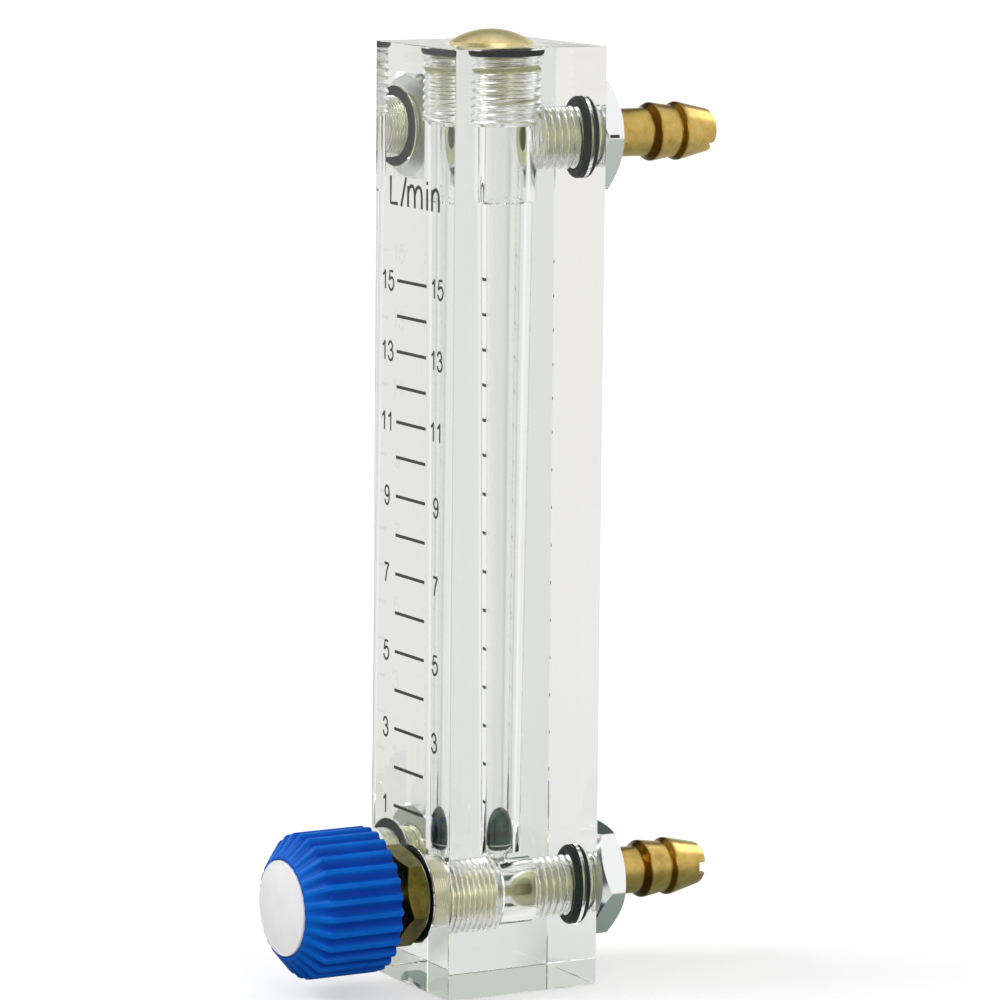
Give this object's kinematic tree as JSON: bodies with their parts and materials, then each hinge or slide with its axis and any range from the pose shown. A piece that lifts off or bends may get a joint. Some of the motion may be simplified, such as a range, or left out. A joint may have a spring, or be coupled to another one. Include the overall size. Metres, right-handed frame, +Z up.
{
  "type": "oxygen flowmeter",
  "caption": "Clear acrylic block flowmeter with a tapered metering bore and float, a needle valve with a ribbed knob, and hose barbs with panel nuts behind.",
  "frame": {"origin": "middle of the acrylic block's base", "axes": "+Z up the block towards the plug, +Y from the scale face and knob towards the hose barbs, +X to the right of a reader who faces the scale"},
  "size_m": [0.026, 0.0771, 0.1523],
  "materials": {
    "clear_acrylic": "polished, clear",
    "plug_brass": "turned",
    "seal_rubber": "matt black",
    "float_metal": "anodised dark, satin",
    "bonnet_brass": "turned, dulled",
    "stem_brass": "turned",
    "blue_plastic": "moulded, satin",
    "white_plastic": "smooth",
    "screw_steel": "plated",
    "barb_brass": "turned",
    "nut_chrome": "plated, polished"
  },
  "bodies": {
    "housing": {"body_block": "clear_acrylic", "top_plug": "plug_brass", "top_plug_o_ring": "seal_rubber", "valve_bonnet": "bonnet_brass", "bonnet_o_ring": "seal_rubber", "inlet_fitting": "barb_brass", "inlet_o_ring": "seal_rubber", "inlet_nut": "nut_chrome", "outlet_fitting": "barb_brass", "outlet_o_ring": "seal_rubber", "outlet_nut": "nut_chrome"},
    "float": {"float": "float_metal"},
    "stem_seal": {"stem_o_ring": "seal_rubber"},
    "spindle": {"valve_stem": "stem_brass", "knob": "blue_plastic", "knob_cap": "white_plastic", "knob_screw": "screw_steel", "screw_washer": "screw_steel"}
  },
  "joints": [
    {"name": "float_rise", "type": "slide", "parent": "housing", "child": "float", "axis": [0, 0, 1], "range_m": [0, 0.1125]},
    {"name": "valve_travel", "type": "slide", "parent": "housing", "child": "stem_seal", "axis": [0, -1, 0], "range_m": [0, 0.00226]},
    {"name": "valve_turn", "type": "hinge", "parent": "stem_seal", "child": "spindle", "pos_m": [0, -0.0246, 0.0148], "axis": [0, -1, 0], "range_deg": [0, 1080]}
  ],
  "couplings": [
    {"joint": "valve_travel", "follows": "valve_turn", "m_per_rad": 0.00011937}
  ]
}
